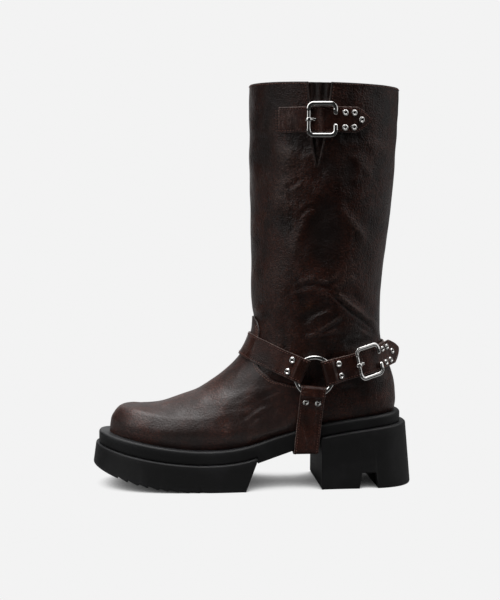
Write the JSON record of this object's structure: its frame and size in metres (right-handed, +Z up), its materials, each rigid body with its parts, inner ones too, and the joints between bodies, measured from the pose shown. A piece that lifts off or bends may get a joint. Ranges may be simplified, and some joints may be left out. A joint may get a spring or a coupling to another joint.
{
  "type": "buckle boot",
  "caption": "Tall leather boot with a platform sole and block heel, a buckled strap over the slit in its collar, and a strap harness with steel rings round its ankle.",
  "frame": {"origin": "on the floor, under the middle of the boot's box", "axes": "+Z up from the floor, toe towards -X, outer side of the left boot towards -Y"},
  "size_m": [0.283, 0.1166, 0.352],
  "materials": {
    "leather": "semi-gloss, burnished",
    "rubber": "matte",
    "steel": "polished",
    "lining": "matte"
  },
  "bodies": {
    "root": {"upper": "leather", "vamp": "leather", "gusset": "leather", "strap_calf": "leather", "strap_instep": "leather", "strap_sole": "leather", "strap_heel_outer": "leather", "strap_heel_inner": "leather", "midsole": "rubber", "outsole": "rubber", "heel": "rubber", "ring_outer": "steel", "ring_inner": "steel", "buckle_calf": "steel", "prong_calf": "steel", "buckle_ankle": "steel", "prong_ankle": "steel", "stud_calf_1": "steel", "stud_calf_2": "steel", "stud_calf_3": "steel", "stud_calf_4": "steel", "stud_calf_5": "steel", "stud_ankle_1": "steel", "stud_ankle_2": "steel", "stud_ankle_3": "steel", "stud_ankle_4": "steel", "stud_ankle_5": "steel", "rivet_instep_outer_1": "steel", "rivet_instep_outer_2": "steel", "rivet_instep_inner_1": "steel", "rivet_instep_inner_2": "steel", "rivet_sole_outer_1": "steel", "rivet_sole_outer_2": "steel", "rivet_sole_inner_1": "steel", "rivet_sole_inner_2": "steel", "rivet_heel_outer_1": "steel", "rivet_heel_outer_2": "steel", "rivet_heel_inner_1": "steel", "rivet_heel_inner_2": "steel", "insole": "lining"}
  },
  "joints": []
}
